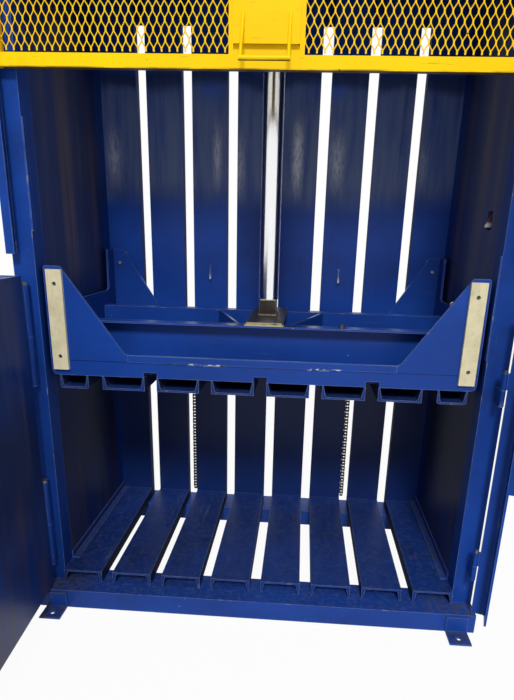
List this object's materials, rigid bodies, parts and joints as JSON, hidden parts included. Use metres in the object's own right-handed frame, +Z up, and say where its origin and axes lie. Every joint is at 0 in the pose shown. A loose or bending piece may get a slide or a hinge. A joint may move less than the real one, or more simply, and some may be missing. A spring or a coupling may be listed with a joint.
{
  "type": "recycling baler",
  "caption": "Upright hydraulic baler for cardboard: blue steel frame, ram platen with rod, hinged chamber door, latch bar and yellow mesh feed gate.",
  "frame": {"origin": "centre of the four anchor holes, on the floor under the middle of the chamber", "axes": "+X to the machine's right as seen from the front, +Y from the front to the rear, +Z up"},
  "size_m": [2.0332, 2.5411, 3.6],
  "materials": {
    "blue_paint": "satin royal blue enamel",
    "worn_blue_paint": "blue enamel, dulled and scuffed by bales",
    "yellow_paint": "gloss safety yellow enamel",
    "wear_plastic": "natural cream plastic",
    "bare_steel": "bare steel",
    "greasy_steel": "dark, oily steel",
    "chrome_rod": "hard chrome",
    "grey_paint": "satin grey enamel",
    "pump_iron": "dark cast iron",
    "red_plastic": "gloss red",
    "green_plastic": "gloss green",
    "black_plastic": "gloss black"
  },
  "bodies": {
    "frame": {"base_beams": "blue_paint", "anchor_feet": "blue_paint", "floor_channels": "blue_paint", "floor_angles": "blue_paint", "front_posts": "blue_paint", "rear_posts": "blue_paint", "side_walls": "worn_blue_paint", "side_ribs": "blue_paint", "rear_wall_channels": "blue_paint", "rear_rails": "blue_paint", "rear_pegs": "bare_steel", "top_rails": "blue_paint", "crosshead": "blue_paint", "top_plates": "blue_paint", "header_panel": "blue_paint", "gate_tracks": "blue_paint", "dog_box": "worn_blue_paint", "ejector_chains": "greasy_steel", "cylinder_barrel": "blue_paint", "cylinder_gland": "greasy_steel", "oil_tank": "blue_paint", "drive_motor": "grey_paint", "gear_pump": "pump_iron", "valve_block": "bare_steel", "oil_filter": "grey_paint", "hydraulic_pipes": "bare_steel", "control_box": "blue_paint", "box_hinges": "bare_steel", "post_knuckles": "blue_paint", "hinge_pins": "bare_steel"},
    "platen": {"platen_front_plate": "blue_paint", "platen_rear_plate": "blue_paint", "platen_side_plates": "blue_paint", "platen_floor_plate": "blue_paint", "platen_rails": "blue_paint", "platen_gussets": "blue_paint", "platen_channels": "blue_paint", "wear_strips": "wear_plastic", "platen_fasteners": "bare_steel", "rod_plates": "greasy_steel", "rod_block": "greasy_steel", "piston_rod": "chrome_rod", "piston": "greasy_steel"},
    "gate": {"gate_frame": "yellow_paint", "gate_mesh": "yellow_paint", "gate_panel": "yellow_paint", "gate_handle": "yellow_paint", "gate_pads": "wear_plastic"},
    "door": {"door_plate": "worn_blue_paint", "door_frame": "blue_paint", "door_knuckles": "blue_paint"},
    "latch": {"latch_bar": "blue_paint"},
    "latch_bolt": {"swing_bolt": "bare_steel"},
    "latch_nut": {"hand_nut": "bare_steel"},
    "bale_finger": {"dog_finger": "bare_steel"},
    "box_door": {"control_door": "blue_paint"},
    "stop_button": {"emergency_stop": "red_plastic"},
    "start_key": {"start_button": "green_plastic"},
    "return_key": {"return_button": "black_plastic"},
    "selector": {"mode_selector": "black_plastic"}
  },
  "joints": [
    {"name": "platen_slide", "type": "slide", "parent": "frame", "child": "platen", "axis": [0, 0, 1], "range_m": [-0.219, 1]},
    {"name": "gate_slide", "type": "slide", "parent": "frame", "child": "gate", "axis": [0, 0, 1], "range_m": [-0.594, 0.024]},
    {"name": "door_hinge", "type": "hinge", "parent": "frame", "child": "door", "pos_m": [-0.8, -0.405, 0.7], "axis": [0, 0, 1], "range_deg": [-60, 86.4]},
    {"name": "latch_hinge", "type": "hinge", "parent": "frame", "child": "latch", "pos_m": [0.809, -0.438, 0.6], "axis": [0, 0, 1], "range_deg": [-73, 42]},
    {"name": "bolt_swing", "type": "hinge", "parent": "door", "child": "latch_bolt", "pos_m": [-0.86266, -1.84578, 0.671], "axis": [0, 0, 1], "range_deg": [0, 180]},
    {"name": "nut_turn", "type": "hinge", "parent": "latch_bolt", "child": "latch_nut", "pos_m": [-0.87113, -1.71104, 0.671], "axis": [-0.0628, 0.998, 0], "continuous": true},
    {"name": "finger_tilt", "type": "hinge", "parent": "frame", "child": "bale_finger", "pos_m": [0.784, -0.18, 1.5], "axis": [0, -1, 0], "range_deg": [0, 30]},
    {"name": "box_door_hinge", "type": "hinge", "parent": "frame", "child": "box_door", "pos_m": [1.137, -0.374, 1.6], "axis": [0, 0, 1], "range_deg": [0, 120]},
    {"name": "stop_push", "type": "slide", "parent": "box_door", "child": "stop_button", "axis": [0, 1, 0], "range_m": [0, 0.006]},
    {"name": "start_push", "type": "slide", "parent": "box_door", "child": "start_key", "axis": [0, 1, 0], "range_m": [0, 0.004], "stiffness_N_per_m": 600},
    {"name": "return_push", "type": "slide", "parent": "box_door", "child": "return_key", "axis": [0, 1, 0], "range_m": [0, 0.004], "stiffness_N_per_m": 600},
    {"name": "selector_turn", "type": "hinge", "parent": "box_door", "child": "selector", "pos_m": [0.988, -0.372, 1.59], "axis": [0, 1, 0], "range_deg": [-45, 45]}
  ]
}
